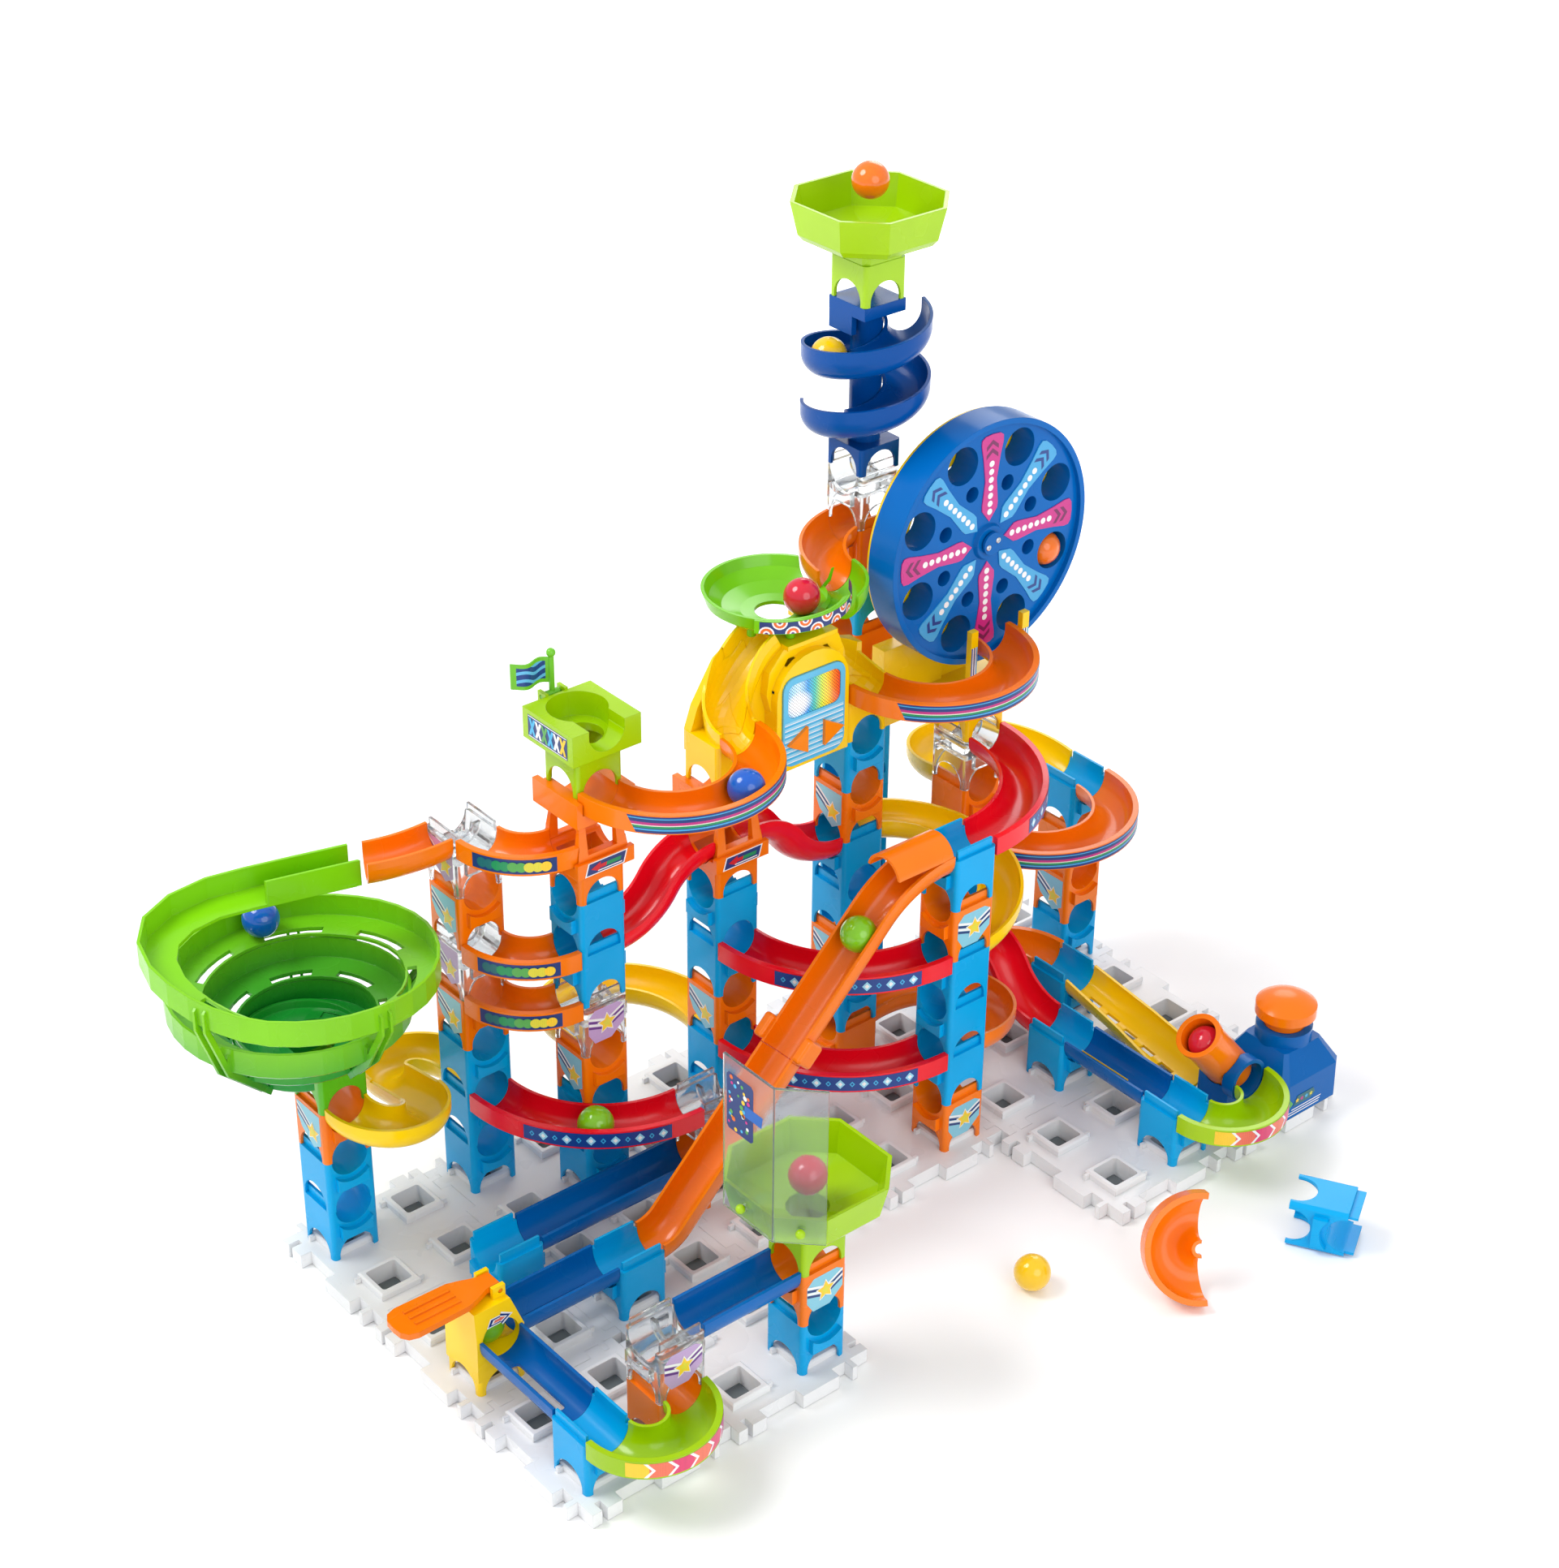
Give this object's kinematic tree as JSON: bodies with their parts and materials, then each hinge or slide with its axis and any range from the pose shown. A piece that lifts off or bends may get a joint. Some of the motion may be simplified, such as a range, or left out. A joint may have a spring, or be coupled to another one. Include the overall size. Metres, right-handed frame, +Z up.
{
  "type": "marble run",
  "caption": "Modular marble run: block towers on jigsaw base plates joined by curved tracks, slides, a spiral funnel, a lifting wheel, a corkscrew and a cannon.",
  "frame": {"origin": "underside centre of the base plate in column three from the low X side and middle row", "axes": "+X along the long row of base plates, +Y towards the rear towers, +Z up"},
  "size_m": [0.7329, 0.5092, 0.6369],
  "materials": {
    "blue_plastic": "glossy moulded plastic",
    "board_green": "glossy moulded plastic",
    "button_orange": "glossy moulded plastic",
    "clear_plastic": "clear plastic",
    "dark_blue_plastic": "glossy moulded plastic",
    "funnel_green": "glossy moulded plastic",
    "grey_metal": "satin",
    "lime_plastic": "glossy moulded plastic",
    "marble_blue": "glossy moulded plastic",
    "marble_green": "glossy moulded plastic",
    "marble_orange": "glossy moulded plastic",
    "marble_red": "glossy moulded plastic",
    "marble_yellow": "glossy moulded plastic",
    "orange_plastic": "glossy moulded plastic",
    "panel_plastic": "glossy moulded plastic",
    "red_plastic": "glossy moulded plastic",
    "screen_plastic": "glossy moulded plastic",
    "wheel_plastic": "glossy moulded plastic",
    "white_plastic": "satin",
    "yellow_plastic": "glossy moulded plastic"
  },
  "bodies": {
    "run_frame": {"base_plates": "white_plastic", "battery_cells": "grey_metal", "blue_blocks_front": "blue_plastic", "blue_blocks_left": "blue_plastic", "blue_blocks_middle": "blue_plastic", "blue_blocks_right": "blue_plastic", "cannon_barrel": "orange_plastic", "cannon_body": "dark_blue_plastic", "catcher_shield": "clear_plastic", "catcher_tray": "lime_plastic", "circuit_board": "board_green", "clear_block_vanes": "clear_plastic", "clear_blocks": "clear_plastic", "corkscrew": "dark_blue_plastic", "flag_box": "lime_plastic", "green_u_turns": "lime_plastic", "light_screen": "screen_plastic", "orange_blocks_front": "orange_plastic", "orange_blocks_middle": "orange_plastic", "orange_blocks_right": "orange_plastic", "orange_chutes": "orange_plastic", "orange_u_turns": "orange_plastic", "platform_towers": "orange_plastic", "ramp_lower": "orange_plastic", "ramp_upper": "orange_plastic", "rear_orange_u_turn": "orange_plastic", "red_quarter_curves": "red_plastic", "red_s_slides": "red_plastic", "short_orange_curves": "orange_plastic", "sound_unit_housing": "yellow_plastic", "sound_unit_panel": "panel_plastic", "speaker": "grey_metal", "spiral_funnel": "funnel_green", "starter_body": "yellow_plastic", "straight_tracks": "dark_blue_plastic", "top_tray": "lime_plastic", "vortex_bowl": "funnel_green", "wheel_axle": "grey_metal", "wheel_base": "yellow_plastic", "yellow_chute": "yellow_plastic", "yellow_s_curve": "yellow_plastic", "yellow_u_turns": "yellow_plastic"},
    "wheel": {"lifting_wheel": "wheel_plastic"},
    "cannon_plunger": {"cannon_button": "orange_plastic"},
    "starter_arm": {"starter_lever": "orange_plastic"},
    "flag_arm": {"flag": "lime_plastic"},
    "left_key": {"left_sound_button": "button_orange"},
    "right_key": {"right_sound_button": "button_orange"},
    "blue_marble_curve_ball": {"blue_marble_curve": "marble_blue"},
    "blue_marble_funnel_ball": {"blue_marble_funnel": "marble_blue"},
    "green_marble_curve_ball": {"green_marble_curve": "marble_green"},
    "green_marble_ramp_ball": {"green_marble_ramp": "marble_green"},
    "green_marble_starter_ball": {"green_marble_starter": "marble_green"},
    "orange_marble_top_ball": {"orange_marble_top": "marble_orange"},
    "orange_marble_wheel_ball": {"orange_marble_wheel": "marble_orange"},
    "red_marble_bowl_ball": {"red_marble_bowl": "marble_red"},
    "red_marble_cannon_ball": {"red_marble_cannon": "marble_red"},
    "red_marble_catcher_ball": {"red_marble_catcher": "marble_red"},
    "yellow_marble_corkscrew_ball": {"yellow_marble_corkscrew": "marble_yellow"},
    "yellow_marble_floor_ball": {"yellow_marble_floor": "marble_yellow"}
  },
  "joints": [
    {"name": "wheel_spin", "type": "hinge", "parent": "run_frame", "child": "wheel", "pos_m": [0.243, 0.0675, 0.38476], "axis": [0, 1, 0], "continuous": true},
    {"name": "cannon_press", "type": "slide", "parent": "run_frame", "child": "cannon_plunger", "axis": [0, 0, -1], "range_m": [0, 0.0065], "stiffness_N_per_m": 300},
    {"name": "starter_lift", "type": "hinge", "parent": "run_frame", "child": "starter_arm", "pos_m": [-0.237, -0.027, 0.07657], "axis": [0, 1, 0], "range_deg": [0, 22], "stiffness_Nm_per_rad": 0.05},
    {"name": "flag_swing", "type": "hinge", "parent": "run_frame", "child": "flag_arm", "pos_m": [-0.081, 0.1111, 0.36574], "axis": [1, 0, 0], "range_deg": [-60, 10]},
    {"name": "left_key_press", "type": "slide", "parent": "run_frame", "child": "left_key", "axis": [0, 1, 0], "range_m": [0, 0.0022], "stiffness_N_per_m": 250},
    {"name": "right_key_press", "type": "slide", "parent": "run_frame", "child": "right_key", "axis": [0, 1, 0], "range_m": [0, 0.0022], "stiffness_N_per_m": 250},
    {"name": "blue_marble_curve_move", "type": "hinge", "parent": "run_frame", "child": "blue_marble_curve_ball", "pos_m": [-0.027, 0.0636, 0.318], "axis": [0, 0, 1], "range_deg": [-25, 25]},
    {"name": "blue_marble_funnel_move", "type": "slide", "parent": "run_frame", "child": "blue_marble_funnel_ball", "axis": [-0.9693, 0.2417, -0.0445], "range_m": [-0.002, 0.002]},
    {"name": "green_marble_curve_move", "type": "hinge", "parent": "run_frame", "child": "green_marble_curve_ball", "pos_m": [-0.0444, 0.1176, 0.087], "axis": [0, 0, 1], "range_deg": [-18, 18]},
    {"name": "green_marble_ramp_move", "type": "slide", "parent": "run_frame", "child": "green_marble_ramp_ball", "axis": [-0.7071, 0, -0.7071], "range_m": [-0.03, 0.02]},
    {"name": "green_marble_starter_move", "type": "slide", "parent": "run_frame", "child": "green_marble_starter_ball", "axis": [0, -1, 0], "range_m": [0, 0.03]},
    {"name": "orange_marble_top_move", "type": "slide", "parent": "run_frame", "child": "orange_marble_top_ball", "axis": [0, 0, 1], "range_m": [-0.012, 0.04]},
    {"name": "orange_marble_wheel_move", "type": "slide", "parent": "wheel", "child": "orange_marble_wheel_ball", "axis": [0, -1, 0], "range_m": [0, 0.03]},
    {"name": "red_marble_bowl_move", "type": "hinge", "parent": "run_frame", "child": "red_marble_bowl_ball", "pos_m": [0.0864, 0.10098, 0.38538], "axis": [0, 0, 1], "range_deg": [-60, 60]},
    {"name": "red_marble_cannon_move", "type": "slide", "parent": "run_frame", "child": "red_marble_cannon_ball", "axis": [-0.6318, 0.0395, 0.7742], "range_m": [0, 0.04]},
    {"name": "red_marble_catcher_move", "type": "slide", "parent": "run_frame", "child": "red_marble_catcher_ball", "axis": [0, 0, 1], "range_m": [0, 0.06]},
    {"name": "yellow_marble_corkscrew_move", "type": "slide", "parent": "run_frame", "child": "yellow_marble_corkscrew_ball", "axis": [0.2515, 0.9388, -0.2355], "range_m": [-0.002, 0.002]},
    {"name": "yellow_marble_floor_move", "type": "slide", "parent": "run_frame", "child": "yellow_marble_floor_ball", "axis": [1, 0, 0], "range_m": [-0.05, 0.05]}
  ]
}
